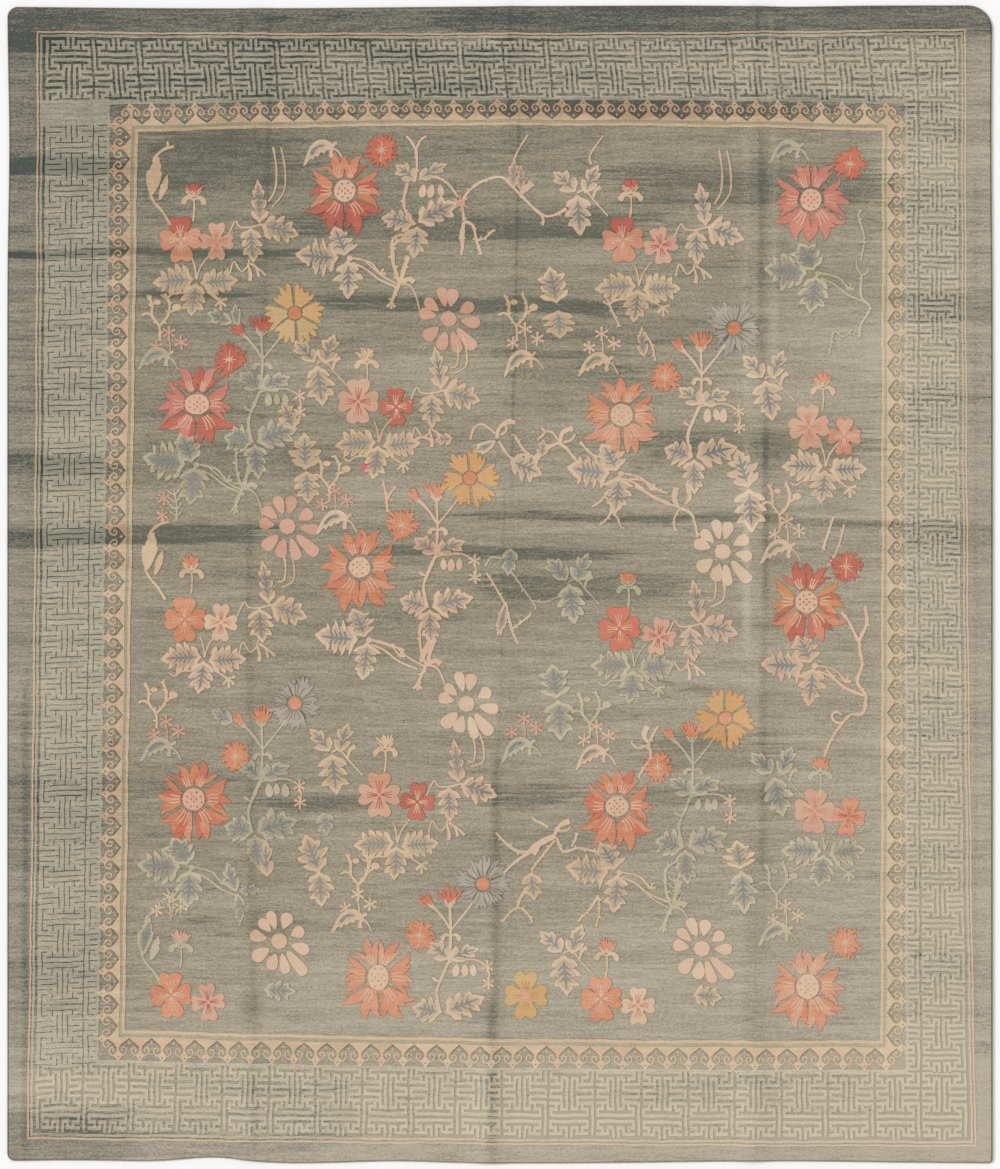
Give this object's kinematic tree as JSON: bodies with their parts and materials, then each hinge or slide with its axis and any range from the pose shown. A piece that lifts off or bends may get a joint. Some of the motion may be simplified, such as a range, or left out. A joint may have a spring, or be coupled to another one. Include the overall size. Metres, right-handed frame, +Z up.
{
  "type": "nepalese rug",
  "caption": "Hand-knotted wool rug lying flat, a fret and scroll border round a field of flower sprays, with an overcast edge and soft fold creases.",
  "frame": {"origin": "on the floor under the middle of the rug", "axes": "+X across the rug, +Y along its length, +Z up out of the pile"},
  "size_m": [3.055, 3.5897, 0.0207],
  "materials": {
    "pile": "matte clipped wool pile in streaked grey-green",
    "overcast": "matte whipped wool yarn"
  },
  "bodies": {
    "root": {"rug": "pile", "binding_left": "overcast", "binding_right": "overcast", "binding_top": "overcast", "binding_bottom": "overcast"}
  },
  "joints": []
}
